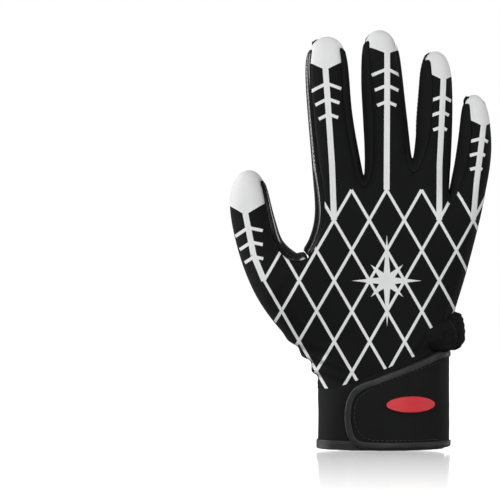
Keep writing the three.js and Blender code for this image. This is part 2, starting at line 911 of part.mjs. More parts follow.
const material = (color, roughness, metalness = 0) =>
  new THREE.MeshStandardMaterial({ color, roughness, metalness });
const KNIT = material(0x1c1e1e, 0.85);
const SIDE_KNIT = material(0x2a2b2b, 0.8);
const TACKY = material(0x0e0f10, 0.18);
const FOAM_BAND = material(0x232424, 0.75);
const TAPE = material(0x2e2f2f, 0.5);
const RED = material(0xd8303c, 0.45);

const glove = new THREE.Group();
function add(name, geometry, finish) {
  const mesh = new THREE.Mesh(geometry, finish);
  mesh.name = name;
  glove.add(mesh);
}

const surface = onSmoothSurface(subdivided(gloveCage()));
const hem = hemLoop(surface);
const normals = pointNormals(surface);
const PANELS = [
  { name: "back_panel", wall: KNIT_WALL, finish: KNIT },
  { name: "palm_panel", wall: PALM_WALL, finish: TACKY },
  { name: "thumb_palm", wall: PALM_WALL, finish: TACKY },
  { name: "fourchette_index_middle", wall: KNIT_WALL, finish: SIDE_KNIT },
  { name: "fourchette_middle_ring", wall: KNIT_WALL, finish: SIDE_KNIT },
  { name: "fourchette_ring_little", wall: KNIT_WALL, finish: SIDE_KNIT },
];
PANELS.forEach(({ name, wall, finish }) =>
  add(name, panelGeometry(surface, normals, name, wall), finish),
);
add("cuff", cuffGeometry(hem), FOAM_BAND);
add("cuff_binding", cuffBindingGeometry(hem), TAPE);
add("strap", strapGeometry(), FOAM_BAND);
add("strap_binding", strapBindingGeometry(), TAPE);
add("badge", badgeGeometry(), RED);
add("side_gather", gatherGeometry(surface), KNIT);

export default glove;
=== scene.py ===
"""Looks of a right-hand football glove that stands up full, as on a hand.

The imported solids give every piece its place. The cloth panels, the cuff, the strap, their tapes and
the patch are smoothed copies of them. The panels are also tucked in at their seams, and the print is
cut into the knit. The bunch of knit at the little-finger side has a form of its own.
Metres, +Z to the fingertips, the back of the hand towards -Y, the thumb towards -X.
"""

import math

import bmesh
import bpy
from bpy.props import FloatProperty, FloatVectorProperty, IntProperty, PointerProperty
from mathutils import Matrix, Vector, noise
from mathutils.bvhtree import BVHTree
from mathutils.kdtree import KDTree


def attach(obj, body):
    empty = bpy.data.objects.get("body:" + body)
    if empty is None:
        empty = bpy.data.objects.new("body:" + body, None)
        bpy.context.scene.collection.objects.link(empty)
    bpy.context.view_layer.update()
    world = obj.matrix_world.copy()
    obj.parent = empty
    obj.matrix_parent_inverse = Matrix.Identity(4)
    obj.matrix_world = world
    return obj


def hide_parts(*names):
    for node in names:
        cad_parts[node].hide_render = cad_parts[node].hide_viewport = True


bl_info = {
    "name": "Football Glove",
    "version": (1, 0, 0),
    "blender": (4, 5, 0),
    "location": "3D View > Sidebar > Glove",
    "description": "Sews the panels, cuff, strap and print of a football glove",
    "category": "Add Mesh",
}

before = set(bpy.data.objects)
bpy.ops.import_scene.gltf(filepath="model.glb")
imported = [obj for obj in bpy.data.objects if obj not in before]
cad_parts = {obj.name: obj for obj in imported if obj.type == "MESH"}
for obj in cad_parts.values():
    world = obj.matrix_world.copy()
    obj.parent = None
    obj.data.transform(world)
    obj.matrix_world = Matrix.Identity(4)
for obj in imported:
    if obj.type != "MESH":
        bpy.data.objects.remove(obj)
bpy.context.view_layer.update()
MM = 0.001
FINGER_STRIPS = (
    "fourchette_index_middle",
    "fourchette_middle_ring",
    "fourchette_ring_little",
)

# White fingertips: each is printed down to a shallow V, whose sides rise by slope from its point.
# from_x and to_x are the sides between which it is printed.
TIPS_MM = (
    {"name": "index", "x": -32, "z": 207.5, "slope": 0.5, "from_x": -50, "to_x": -12.5},
    {"name": "middle", "x": 2, "z": 216.5, "slope": 0.4, "from_x": -12.5, "to_x": 14},
    {"name": "ring", "x": 33, "z": 202, "slope": 0.5, "from_x": 14, "to_x": 40},
    {"name": "little", "x": 55, "z": 176.5, "slope": 0.5, "from_x": 40, "to_x": 70},
    {"name": "thumb", "x": -76, "z": 128, "slope": 0.6, "from_x": -95, "to_x": -56},
)
# Side strips that the white of a fingertip wraps onto, with that fingertip.
WRAPPED_STRIPS = {"fourchette_middle_ring": "middle", "fourchette_ring_little": "ring"}

# Finger stripes: from the white tip down the middle of each finger's back, through the points of
# path, with pointed cross bars. A bar reaches left and right of the stripe, less far lower down.
FINGER_STRIPES_MM = (
    {
        "path": ((-32, 208.5), (-28.6, 155), (-27.6, 125)),
        "bars": (200, 191.5, 183),
        "left": 8.6,
        "right": 8.0,
    },
    {"path": ((2, 217.5), (1, 141.5)), "bars": (208, 199, 190), "left": 8.4, "right": 8.0},
    {
        "path": ((33, 203), (30.2, 155), (29.6, 125)),
        "bars": (193, 184.5, 176),
        "left": 7.0,
        "right": 5.0,
    },
    {
        "path": ((55, 177.5), (50.6, 146), (48.6, 125)),
        "bars": (170, 162, 154),
        "left": 7.0,
        "right": 3.6,
    },
    {
        "path": ((-76, 129), (-71.5, 106), (-65.7, 92)),
        "bars": (121, 113, 105),
        "left": 8.6,
        "right": 7.6,
    },
)
KNIT_PITCH = 0.85 * MM
BAR_SHORTENING = 0.8
BAR_WIDTH = 0.56
BAR_DROP = 0.42

# Diamond lattice: two sets of parallel lines, each slanting by an angle from the upright. It is
# printed in boxes: the back of the hand and the ball of the thumb. It runs on to the hem.
LATTICE_MM = {"centre": (1.0, 92.0), "angles": (30.0, -30.0), "spacing": 16.5, "count": 9}
LATTICE_BOXES_MM = (
    {"left": -46.6, "right": 60.0, "low": 30.0, "high": 141.5},
    {"left": -65.7, "right": -46.6, "low": 42.5, "high": 108.5},
)

# Star in the lattice: its points reach far and near in turn, from a middle where they are waist wide.
STAR_MM = {"x": 1.0, "z": 92.0, "upright": 25.0, "level": 19.0, "slanting": 12.5, "waist": 4.6}

# Creases in the cloth: each is a low ridge with a valley under it. A side gives the way that the
# cloth faces there and the axis that "at" is measured on, beside the height z.
SIDES = {
    "back": {"facing": Vector((0, -1, 0)), "axis": 0},
    "palm": {"facing": Vector((0, 1, 0)), "axis": 0},
    "thumb": {"facing": Vector((-1, 0, 0)), "axis": 1},
}
# A crease fades with the cloth's turn from its side, the faster the more grip. Its end and edge, and
# where its valley runs, are in its own lengths and widths. The valley is a share of the ridge's height.
CREASE = {"grip": 2.2, "end": 2.5, "edge": 4, "valley": 0.7, "valley_at": 1.7}
CREASE_COLUMNS = ("side", "at", "z", "turn", "length", "width", "height")
CREASES_MM = (
    ("thumb", 0, 59.5, 14, 14, 2.4, 1.0),
    ("thumb", -1, 51.0, 8, 15, 2.2, 1.3),
    ("thumb", 1, 42.5, -4, 16, 2.2, 1.4),
    ("back", -33, 55, -34, 9, 1.8, 0.8),
    ("back", -29, 47, -24, 9, 1.7, 0.9),
    ("back", -25, 40, -8, 10, 1.8, 0.9),
    ("back", -46, 70, -48, 8, 2.0, 0.5),
    ("back", 26, 64, 62, 12, 1.8, 0.6),
    ("back", 31, 70, 70, 14, 1.8, 0.7),
    ("back", 19, 60, 55, 9, 1.6, 0.5),
    ("back", -48, 101, 35, 13, 2.6, 0.7),
    ("back", -55, 92, 48, 12, 2.4, 0.6),
    ("palm", -22.5, 40.6, -30, 5, 1.2, 0.8),
    ("palm", -29, 40.2, -36, 4, 1.2, 0.8),
    ("palm", -26, 37.2, 0, 8, 1.0, 0.6),
    ("palm", -36, 60, 52, 20, 3.4, 0.4),
    ("palm", -37, 118, 84, 10, 2.6, 0.8),
)

# Triangles that pair into a quad may bend and skew by these degrees.
QUAD_BEND = 50
QUAD_SKEW = 75
STRIP_KNIT_PITCH = 0.6 * MM
# How much the palm's coat swells and sinks, and over what distance
PALM_UNEVENNESS = 0.16 * MM
PALM_PATCH = 24 * MM
CUFF_STITCH_HEIGHT = 3.6 * MM
# A row of stitches leaves out a place this share of its inset off the sheet, and breaks at a gap of
# this many pitches.
FURTHEST_OFF_SHEET = 0.45
LONGEST_GAP = 4
# The furthest that a corner moves before a piece is subdivided.
LARGEST_MOVE = 0.35 * MM
# The hem hangs a little over the top of the cuff, where the solids keep a gap.
HIGHEST_HEM = 60 * MM
HEM_WIDTH = 1.6 * MM
HEM_LIFT = 0.35 * MM
HEM_DROP = 1.1 * MM

# The bunch of knit at the little-finger side. How far it stands out from the hand, by height; then
# where it lies round the hand, in degrees from the little-finger side towards the back, and its folds.
# Its foot and top are narrower by taper, and towards the back it slopes down, from slope_from degrees.
BUNCH_REACH_MM = (
    (54.0, 2.6),
    (55.8, 6.6),
    (57.9, 10.4),
    (60.2, 11.4),
    (63.5, 9.9),
    (67.0, 8.3),
    (70.5, 6.6),
    (73.2, 4.6),
    (75.6, 0.0),
)
BUNCH = {
    "axis_x": -1.8,
    "lowest_skin": 57.0,
    "skin_radius": 37.0,
    "root": 0.7,
    "turn": 9.0,
    "spread": 30.0,
    "stops_around": 84,
    "stops_high": 40,
    "foot_turn": 14.0,
    "fold_turn": 9.5,
    "fold_depth": 1.1,
    "fan": 0.4,
    "fan_height": 20,
    "wander": 4,
    "wander_turn": 14,
    "wander_height": 10,
    "wander_seed": 3,
    "valley_power": 0.7,
    "edge_power": 0.9,
    "root_depth": 1.5,
    "full_fold_reach": 3,
    "slope": 0.32,
    "slope_from": 4,
    "taper": 0.4,
}

# How each firm piece is shaped: edges sharper than sharp degrees are kept in subdivision, and the
# rounded edge and the unevenness are in mm, the latter over patches of a size.
SHAPES = {
    "cuff": {"sharp": 40, "levels": 3, "edge": 0.7, "uneven": 0.25, "patch": 11},
    "cuff_binding": {"sharp": 60, "levels": 2, "uneven": 0.14, "patch": 4},
    "strap": {"sharp": 40, "levels": 3, "uneven": 0.2, "patch": 9},
    "strap_binding": {"levels": 2, "rounds": 0, "uneven": 0.2, "patch": 3.5},
    "badge": {"sharp": 60, "levels": 2, "edge": 0.3},
}

# A sewn tongue on the palm, beside the thumb: two rows of stitches, one in the other, through (x, z).
TONGUE_STITCHES_MM = (
    (
        (-39.6, 101.6), (-36.0, 99.6), (-30.4, 97.0), (-26.9, 93.8), (-26.6, 89.6),
        (-29.2, 87.0), (-34.6, 87.0), (-39.6, 88.4),
    ),
    (
        (-39.6, 99.5), (-36.0, 97.5), (-31.2, 95.2), (-28.9, 92.8), (-28.8, 90.4),
        (-30.4, 88.9), (-34.8, 88.9), (-39.6, 90.4),
    ),
)

# The strap's stitches run just inside its bound edge, through these points (x, z).
STRAP_STITCHES_MM = (
    (30.5, 47.6), (24.0, 45.9), (16.0, 43.0), (6.0, 39.2), (-4.0, 35.3), (-10.5, 32.2),
    (-15.2, 27.4), (-16.9, 20.6), (-16.0, 13.2), (-12.6, 8.0), (-7.0, 5.9), (4.0, 5.6),
    (16.0, 5.6), (24.0, 5.6), (30.5, 5.6),
)


def length_setting(name, description, millimetres):
    """A length that a user can change."""
    return FloatProperty(
        name=name, description=description, default=millimetres * MM, unit="LENGTH"
    )


def colour_setting(name, description, default):
    """A colour that a user can change."""
    return FloatVectorProperty(
        name=name, description=description, default=default, subtype="COLOR"
    )


class GloveSizes(bpy.types.PropertyGroup):
    """Sizes of the glove's sewn and printed detail."""

    fullness: length_setting("Fullness", "How far the cloth swells out between its seams", 0.2)
    seam_depth: length_setting("Seam depth", "How deep a seam pulls the edges of two panels in", 0.75)
    seam_width: length_setting("Seam width", "How far from a seam the cloth dips towards it", 1.1)
    knit_thickness: length_setting("Knit thickness", "Thickness of the knit panels", 1.0)
    palm_thickness: length_setting("Palm thickness", "Thickness of the coated palm", 1.2)
    stripe_width: length_setting("Stripe width", "Width of the printed stripes on the fingers", 3.2)
    line_width: length_setting("Line width", "Width of the printed lines on the back of the hand", 1.6)
    stitch_pitch: length_setting("Stitch pitch", "Distance from one stitch to the next", 2.5)
    stitch_length: length_setting("Stitch length", "Length of thread that shows in a stitch", 1.9)
    thread_radius: length_setting("Thread radius", "Radius of the sewing thread", 0.24)
    seam_inset: length_setting("Seam inset", "Distance of the palm's stitches from the palm's edge", 2.5)
    cloth_levels: IntProperty(
        name="Cloth levels",
        description="Rounds of subdivision on the large panels",
        default=3,
        min=1,
        max=4,
    )


class GloveColours(bpy.types.PropertyGroup):
    """Colours of the glove's cloth, palm, print and trim."""

    knit: colour_setting("Knit", "Stretch knit on the back of the hand", (0.0048, 0.0050, 0.0051))
    side_knit: colour_setting("Side knit", "Knit strips between the fingers", (0.0062, 0.0064, 0.0066))
    palm: colour_setting("Palm", "Glossy coated palm", (0.0042, 0.0042, 0.0046))
    print_white: colour_setting("Print", "White print on the knit", (0.92, 0.92, 0.925))
    band: colour_setting("Band", "Foam-backed cloth of the cuff and strap", (0.0070, 0.0072, 0.0073))
    tape: colour_setting("Tape", "Tape that binds the cuff and strap", (0.0128, 0.0130, 0.0132))
    thread: colour_setting("Thread", "Sewing thread", (0.022, 0.022, 0.023))
    patch: colour_setting("Patch", "Plain patch on the strap", (0.78, 0.035, 0.05))


# Materials


def lighter(colour, factor):
    """A colour times a factor."""
    return tuple(min(1.0, channel * factor) for channel in colour)


class Surface:
    """A material in the making, with a Principled shader and the piece's own coordinates."""

    def __init__(self, name, turn=(0, 0, 0), **shader_inputs):
        self.material = bpy.data.materials.new(name)
        self.material.use_nodes = True
        self.nodes = self.material.node_tree.nodes
        self.shader = self.nodes["Principled BSDF"]
        for socket, value in shader_inputs.items():
            self.shader.inputs[socket.replace("_", " ")].default_value = value
        place = self.add("ShaderNodeTexCoord")
        mapping = self.add("ShaderNodeMapping", Rotation=turn)
        self.link(place.outputs["Object"], mapping.inputs["Vector"])
        self.vector = mapping.outputs["Vector"]

    def add(self, kind, **settings):
        """A node of a kind, with its plain settings. Capitalised names are sockets."""
        node = self.nodes.new(kind)
        for key, value in settings.items():
            if key[0].isupper():
                node.inputs[key.replace("_", " ")].default_value = value
            else:
                setattr(node, key, value)
        return node

    def link(self, output, socket):
        """Joins an output to an input."""
        self.material.node_tree.links.new(output, socket)

    def maths(self, operation, first, second):
        """A Math node fed by two sockets or numbers."""
        node = self.add("ShaderNodeMath", operation=operation)
        for socket, value in zip(node.inputs, (first, second)):
            if isinstance(value, (int, float)):
                socket.default_value = value
            else:
                self.link(value, socket)
        return node.outputs[0]

    def bands(self, pitch, direction, distortion=0.0):
        """Soft ridges a pitch apart, from 0 to 1."""
        # A Wave texture repeats every 2 pi / 20 of its scaled coordinate.
        wave = self.add(
            "ShaderNodeTexWave",
            wave_type="BANDS",
            bands_direction=direction,
            Scale=math.pi / (10 * pitch),
            Distortion=distortion,
        )
        self.link(self.vector, wave.inputs["Vector"])
        return wave.outputs["Fac"]

    def grain(self, size, detail=3.0):
        """Even noise whose patches are about size across, from 0 to 1."""
        texture = self.add("ShaderNodeTexNoise", Scale=1 / size, Detail=detail)
        self.link(self.vector, texture.inputs["Vector"])
        return texture.outputs["Fac"]

    def ramp(self, factor, low, high):
        """Maps 0 to 1 onto low to high."""
        node = self.add("ShaderNodeMapRange", To_Min=low, To_Max=high)
        self.link(factor, node.inputs["Value"])
        return node.outputs["Result"]

    def colour_by(self, factor, colour, dark, light):
        """Shades the material by a factor, between two multiples of its colour."""
        node = self.add("ShaderNodeMix", data_type="RGBA")
        self.link(factor, node.inputs["Factor"])
        node.inputs[6].default_value = (*lighter(colour, dark), 1)
        node.inputs[7].default_value = (*lighter(colour, light), 1)
        self.link(node.outputs[2], self.shader.inputs["Base Color"])

    def bump(self, height, distance, strength):
        """Bump of the given real height, on the shader."""
        bump = self.add("ShaderNodeBump", Strength=strength, Distance=distance)
        self.link(height, bump.inputs["Height"])
        self.link(bump.outputs["Normal"], self.shader.inputs["Normal"])


def knit_material(name, colour, pitch=KNIT_PITCH):
    """Matt stretch knit: upright wales crossed by finer courses, with a little fuzz."""
    cloth = Surface(
        name, Roughness=0.78, Sheen_Weight=0.03, Sheen_Roughness=0.4, Specular_IOR_Level=0.16
    )
    wales = cloth.bands(pitch, "X", 0.6)
    courses = cloth.bands(pitch * 0.8, "Z", 0.6)
    weave = cloth.maths("MULTIPLY", wales, courses)
    fuzz = cloth.maths("MULTIPLY", cloth.grain(0.35 * MM), 0.35)
    tone = cloth.maths("ADD", cloth.maths("MULTIPLY", weave, 0.6), cloth.grain(14 * MM))
    cloth.colour_by(cloth.ramp(tone, 0.0, 0.75), colour, 0.72, 1.5)
    cloth.bump(cloth.maths("ADD", weave, fuzz), 0.12 * MM, 0.7)
    return cloth.material


def print_material(colour):
    """White print on knit: a thin film that lets the knit's ribs show through."""
    film = Surface("white_print", Roughness=0.55, Specular_IOR_Level=0.3)
    wales = film.bands(KNIT_PITCH, "X", 0.6)
    patches = film.maths("MULTIPLY", film.grain(6 * MM), 0.5)
    tone = film.maths("ADD", film.maths("MULTIPLY", wales, 0.25), patches)
    film.colour_by(tone, colour, 1, 0.86)
    film.bump(wales, 0.05 * MM, 0.5)
    return film.material


def palm_material(colour):
    """Tacky palm: a smooth glossy coat over fine-grained cloth, a little uneven."""
    coat = Surface("coated_palm", Coat_Weight=0.7, Coat_Roughness=0.1)
    swells = coat.grain(9 * MM, 2.0)
    pores = coat.maths("MULTIPLY", coat.grain(0.9 * MM, 2.0), 0.05)
    coat.link(coat.ramp(coat.grain(22 * MM), 0.14, 0.3), coat.shader.inputs["Roughness"])
    coat.colour_by(swells, colour, 0.8, 1.5)
    coat.bump(coat.maths("ADD", swells, pores), 0.5 * MM, 0.25)
    return coat.material


def band_material(colour):
    """Foam-backed band cloth: a fine flat jersey with a soft bloom."""
    cloth = Surface(
        "foam_band",
        Roughness=0.72,
        Sheen_Weight=0.03,
        Sheen_Roughness=0.5,
        Specular_IOR_Level=0.16,
    )
    jersey = cloth.maths("MULTIPLY", cloth.bands(0.5 * MM, "Z", 0.8), 0.5)
    cloth.colour_by(cloth.grain(18 * MM), colour, 0.75, 1.35)
    cloth.bump(cloth.maths("ADD", jersey, cloth.grain(0.3 * MM)), 0.07 * MM, 0.6)
    return cloth.material


def tape_material(colour):
    """Binding tape: soft-sheen coated cloth with a leather-like grain, paler where it rubs."""
    tape = Surface("binding_tape", Specular_IOR_Level=0.45)
    cells = tape.add("ShaderNodeTexVoronoi", Scale=1 / (0.75 * MM))
    tape.link(tape.vector, cells.inputs["Vector"])
    wear = tape.grain(5 * MM)
    tape.colour_by(wear, colour, 0.8, 1.6)
    tape.link(tape.ramp(wear, 0.36, 0.6), tape.shader.inputs["Roughness"])
    tape.bump(cells.outputs["Distance"], 0.14 * MM, 0.5)
    return tape.material


def thread_material(colour):
    """Twisted sewing thread."""
    thread = Surface("sewing_thread", turn=(0.6, 0.5, 0.0), Roughness=0.5)
    twist = thread.bands(0.3 * MM, "X")
    thread.colour_by(twist, colour, 0.7, 1.4)
    thread.bump(twist, 0.05 * MM, 0.6)
    return thread.material


def patch_material(colour):
    """Moulded rubbery patch, satin, a little darker in its pores."""
    rubber = Surface("moulded_patch", Roughness=0.42)
    pores = rubber.grain(0.6 * MM)
    rubber.colour_by(pores, colour, 0.85, 1.1)
    rubber.bump(pores, 0.06 * MM, 0.5)
    return rubber.material


def lining_material(colour):
    """Inside of the cloth: plain, flat and a little paler."""
    cloth = Surface("lining", Roughness=0.9)
    fuzz = cloth.grain(0.6 * MM)
    cloth.colour_by(fuzz, colour, 1.2, 2.2)
    cloth.bump(fuzz, 0.1 * MM, 0.6)
    return cloth.material


# Mesh helpers


def make_active(piece):
    """Selects one object alone."""
    bpy.ops.object.select_all(action="DESELECT")
    piece.select_set(True)
    bpy.context.view_layer.objects.active = piece


def add_object(name, data):
    """A new object in the scene."""
    made = bpy.data.objects.new(name, data)
    bpy.context.scene.collection.objects.link(made)
    return made


def copy_of_node(node, name, skin_only=False):
    """A new object with a merged copy of a solid's mesh, its triangles paired into quads.

    With skin_only, the outer skin of a cloth solid alone.
    """
    piece = add_object(name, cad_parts[node].data.copy())
    piece.data.name = name
    make_active(piece)
    bpy.ops.object.mode_set(mode="EDIT")
    bpy.ops.mesh.customdata_custom_splitnormals_clear()
    bpy.ops.mesh.select_all(action="SELECT")
    bpy.ops.mesh.remove_doubles(threshold=0.01 * MM)
    bpy.ops.object.mode_set(mode="OBJECT")
    if skin_only:
        keep_outside(piece)
    bpy.ops.object.mode_set(mode="EDIT")
    bpy.ops.mesh.select_all(action="SELECT")
    bpy.ops.mesh.tris_convert_to_quads(
        face_threshold=math.radians(QUAD_BEND), shape_threshold=math.radians(QUAD_SKEW)
    )
    bpy.ops.object.mode_set(mode="OBJECT")
    piece.data.materials.clear()
    return piece


def apply_modifier(piece, kind, **settings):
    """Adds a modifier and applies it at once."""
    make_active(piece)
    modifier = piece.modifiers.new(kind.title(), kind)
    for key, value in settings.items():
        setattr(modifier, key, value)
    bpy.ops.object.modifier_apply(modifier=modifier.name)


def subdivide(piece, levels, rounds=2):
    """Subdivides a piece. Its corners are first moved out, so that the smooth surface meets them."""
    targets = [v.co.copy() for v in piece.data.vertices]
    for _ in range(rounds):
        trial = piece.copy()
        trial.data = piece.data.copy()
        bpy.context.scene.collection.objects.link(trial)
        apply_modifier(trial, "SUBSURF", levels=1, render_levels=1)
        landed = [v.co.copy() for v in trial.data.vertices][: len(targets)]
        bpy.data.objects.remove(trial)
        for vertex, target, place in zip(piece.data.vertices, targets, landed):
            move = target - place
            vertex.co += move * min(1.0, LARGEST_MOVE / max(move.length, 1e-9))
    apply_modifier(piece, "SUBSURF", levels=levels, render_levels=levels)


def keep_outside(piece, sharp=40):
    """Leaves only the outer skin of a cloth solid: its largest stretch of faces with no sharp ridge."""
    mesh = bmesh.new()
    mesh.from_mesh(piece.data)
    limit = math.radians(sharp)
    seen = set()
    stretches = []
    for face in mesh.faces:
        if face in seen:
            continue
        seen.add(face)
        stretch = [face]
        for member in stretch:
            for edge in member.edges:
                if len(edge.link_faces) != 2 or edge.calc_face_angle_signed(0) > limit:
                    continue
                for other in edge.link_faces:
                    if other not in seen:
                        seen.add(other)
                        stretch.append(other)
        stretches.append(stretch)
    outside = set(max(stretches, key=lambda s: sum(f.calc_area() for f in s)))
    others = [face for face in mesh.faces if face not in outside]
    bmesh.ops.delete(mesh, geom=others, context="FACES")
    mesh.to_mesh(piece.data)
    mesh.free()


def rim_loops(piece):
    """The open edges of a sheet as loops of vertex numbers, in order."""
    uses = {}
    for face in piece.data.polygons:
        for key in face.edge_keys:
            uses[key] = uses.get(key, 0) + 1
    near = {}
    for (a, b), count in uses.items():
        if count == 1:
            near.setdefault(a, []).append(b)
            near.setdefault(b, []).append(a)
    loops = []
    left = set(near)
    while left:
        start = min(left)
        loop = [start]
        left.discard(start)
        while True:
            ahead = [n for n in near[loop[-1]] if n in left]
            if not ahead:
                break
            loop.append(ahead[0])
            left.discard(ahead[0])
        loops.append(loop)
    return loops


def crease_height(point, normal):
    """How far the creases lift or sink the cloth at a point."""
    height = 0.0
    for cells in CREASES_MM:
        row = dict(zip(CREASE_COLUMNS, cells))
        side = SIDES[row["side"]]
        share = min(1.0, CREASE["grip"] * normal.dot(side["facing"]))
        if share <= 0:
            continue
        turn = math.radians(row["turn"])
        beside = point[side["axis"]] / MM - row["at"]
        above = point.z / MM - row["z"]
        along = (beside * math.cos(turn) + above * math.sin(turn)) / row["length"]
        across = (above * math.cos(turn) - beside * math.sin(turn)) / row["width"]
        if abs(along) > CREASE["end"] or abs(across) > CREASE["edge"]:
            continue
        valley = CREASE["valley"] * math.exp(-((across + CREASE["valley_at"]) ** 2))
        ridge = math.exp(-across * across) - valley
        height += row["height"] * ridge * math.exp(-along * along) * share
    return height * MM


def shape_cloth(piece, sizes, unevenness=0.12 * MM, patch=16 * MM, creases=True):
    """Swells a sheet, tucks it in along its edges and creases it."""
    vertices = piece.data.vertices
    rim = [index for loop in rim_loops(piece) for index in loop]
    tree = KDTree(max(1, len(rim)))
    for index in rim:
        tree.insert(vertices[index].co, index)
    tree.balance()
    places = [v.co.copy() for v in vertices]
    normals = [v.normal.copy() for v in vertices]
    cuff = surface_of(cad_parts["cuff"])
    for vertex, place, normal in zip(vertices, places, normals):
        distance = tree.find(place)[2] if rim else 1.0
        tuck = sizes.seam_depth * math.exp(-((distance / sizes.seam_width) ** 2))
        hem = 0.0
        if place.z < HIGHEST_HEM:
            hem = math.exp(-((cuff.find_nearest(place)[3] / HEM_WIDTH) ** 2))
        lift = sizes.fullness - tuck * (1 - hem) + HEM_LIFT * hem
        lift += unevenness * noise.noise(place / patch)
        if creases:
            lift += crease_height(place, normal)
        vertex.co = place + normal * lift - Vector((0, 0, HEM_DROP * hem))


def thicken(piece, thickness, lining_offset=0):
    """Gives a sheet its cloth thickness, on the inside."""
    apply_modifier(
        piece,
        "SOLIDIFY",
        thickness=thickness,
        offset=-1.0,
        use_even_offset=False,
        material_offset=lining_offset,
        material_offset_rim=0,
    )


def crease_sharp_edges(piece, angle=40):
    """Marks edges sharper than an angle, so that subdivision keeps them."""
    make_active(piece)
    bpy.ops.object.mode_set(mode="EDIT")
    bpy.ops.mesh.select_mode(type="EDGE")
    bpy.ops.mesh.select_all(action="DESELECT")
    bpy.ops.mesh.edges_select_sharp(sharpness=math.radians(angle))
    bpy.ops.transform.edge_crease(value=1.0)
    bpy.ops.object.mode_set(mode="OBJECT")


def round_edges(piece, width, segments=3, angle=40):
    """Rounds the edges sharper than an angle."""
    apply_modifier(
        piece,
        "BEVEL",
        width=width,
        segments=segments,
        limit_method="ANGLE",
        angle_limit=math.radians(angle),
        harden_normals=False,
    )


def roughen(piece, unevenness, patch):
    """Small swells and hollows all over a piece, as handled cloth has."""
    vertices = piece.data.vertices
    moves = [v.normal * (unevenness * noise.noise(v.co / patch)) for v in vertices]
    for vertex, move in zip(vertices, moves):
        vertex.co += move


def bunch_reach(z):
    """How far the bunch of knit stands out from the hand at a height, in millimetres."""
    for (low, near), (high, far) in zip(BUNCH_REACH_MM, BUNCH_REACH_MM[1:]):
        if low <= z <= high:
            share = (z - low) / (high - low)
            share = share * share * (3 - 2 * share)
            return near + (far - near) * share
    return 0.0


def bunch_folds(turn, z):
    """The folds of the bunch, from -1 in a valley to 1 on a ridge. They fan out upwards."""
    fan = 1 + BUNCH["fan"] * (z - BUNCH_REACH_MM[0][0]) / BUNCH["fan_height"]
    spot = Vector((turn / BUNCH["wander_turn"], z / BUNCH["wander_height"], BUNCH["wander_seed"]))
    wander = BUNCH["wander"] * noise.noise(spot)
    drawn = (turn - BUNCH["foot_turn"]) / fan + wander
    valley = 1 - abs(math.sin(math.pi * drawn / BUNCH["fold_turn"])) ** BUNCH["valley_power"]
    return 1 - 2 * valley


def make_bunch(hand):
    """The bunch of knit: a closed form that lies on the side of the hand, under and over alike."""
    around, high = BUNCH["stops_around"], BUNCH["stops_high"]
    low_z, high_z = BUNCH_REACH_MM[0][0], BUNCH_REACH_MM[-1][0]
    mesh = bmesh.new()
    layers = []
    for outer in (True, False):
        rows = []
        for j in range(high + 1):
            z = low_z + (high_z - low_z) * j / high
            width = 1 - BUNCH["taper"] * (2 * j / high - 1) ** 2
            row = []
            for i in range(around + 1):
                across = 2 * i / around - 1
                turn = BUNCH["turn"] + BUNCH["spread"] * width * across
                outward = Vector((math.cos(math.radians(turn)), -math.sin(math.radians(turn)), 0))
                middle = Vector((BUNCH["axis_x"] * MM, 0, max(z, BUNCH["lowest_skin"]) * MM))
                skin = hand.ray_cast(middle + outward * 0.1, -outward)[0]
                if skin is None:
                    skin = hand.find_nearest(middle + outward * BUNCH["skin_radius"] * MM)[0]
                swell = max(0.0, 1 - across * across) ** BUNCH["edge_power"]
                reach = -BUNCH["root"] * BUNCH["root_depth"]
                if outer:
                    raised = BUNCH["slope"] * max(0.0, turn - BUNCH["slope_from"])
                    full = bunch_reach(z + raised) * swell
                    share = min(1.0, full / BUNCH["full_fold_reach"])
                    fold = BUNCH["fold_depth"] * swell * share * bunch_folds(turn, z)
                    reach = full + fold - BUNCH["root"]
                row.append(mesh.verts.new(Vector((skin.x, skin.y, z * MM)) + outward * reach * MM))
            rows.append(row)
        layers.append(rows)
    outside, inside = layers
    for j in range(high):
        for i in range(around):
            mesh.faces.new((outside[j][i], outside[j][i + 1], outside[j + 1][i + 1], outside[j + 1][i]))
            mesh.faces.new((inside[j][i], inside[j + 1][i], inside[j + 1][i + 1], inside[j][i + 1]))
    for i in range(around):
        mesh.faces.new((outside[0][i + 1], outside[0][i], inside[0][i], inside[0][i + 1]))
        mesh.faces.new((outside[high][i], outside[high][i + 1], inside[high][i + 1], inside[high][i]))
    for j in range(high):
        mesh.faces.new((outside[j][0], outside[j + 1][0], inside[j + 1][0], inside[j][0]))
        mesh.faces.new(
            (outside[j + 1][around], outside[j][around], inside[j][around], inside[j + 1][around])
        )
    bmesh.ops.recalc_face_normals(mesh, faces=mesh.faces)
    data = bpy.data.meshes.new("gathered_knit")
    mesh.to_mesh(data)
    mesh.free()
    return add_object("gathered_knit", data)


def surface_of(*pieces):
    """A tree to look up points on some pieces' surfaces."""
    mesh = bmesh.new()
    for piece in pieces:
        mesh.from_mesh(piece.data)
    tree = BVHTree.FromBMesh(mesh)
    mesh.free()
    return tree


def path_on_surface(tree, corners, seen_from=-1, step=0.8):
    """A smooth path through points (x, z), laid on a surface as seen from behind the hand.

    From the palm's side, seen_from is 1.
    """
    points = [Vector(corner) for corner in corners]
    points = [2 * points[0] - points[1]] + points + [2 * points[-1] - points[-2]]
    path = []
    for before, start, end, after in zip(points, points[1:], points[2:], points[3:]):
        count = max(2, round((end - start).length / step))
        for k in range(count):
            t = k / count
            flat = 0.5 * (
                2 * start
                + (end - before) * t
                + (2 * before - 5 * start + 4 * end - after) * t**2
                + (3 * start - before - 3 * end + after) * t**3
            )
            place, normal, _, _ = tree.ray_cast(
                Vector((flat.x * MM, seen_from * 0.1, flat.y * MM)), Vector((0, -seen_from, 0))
            )
            if place is not None:
                path.append((place, normal))
    return path


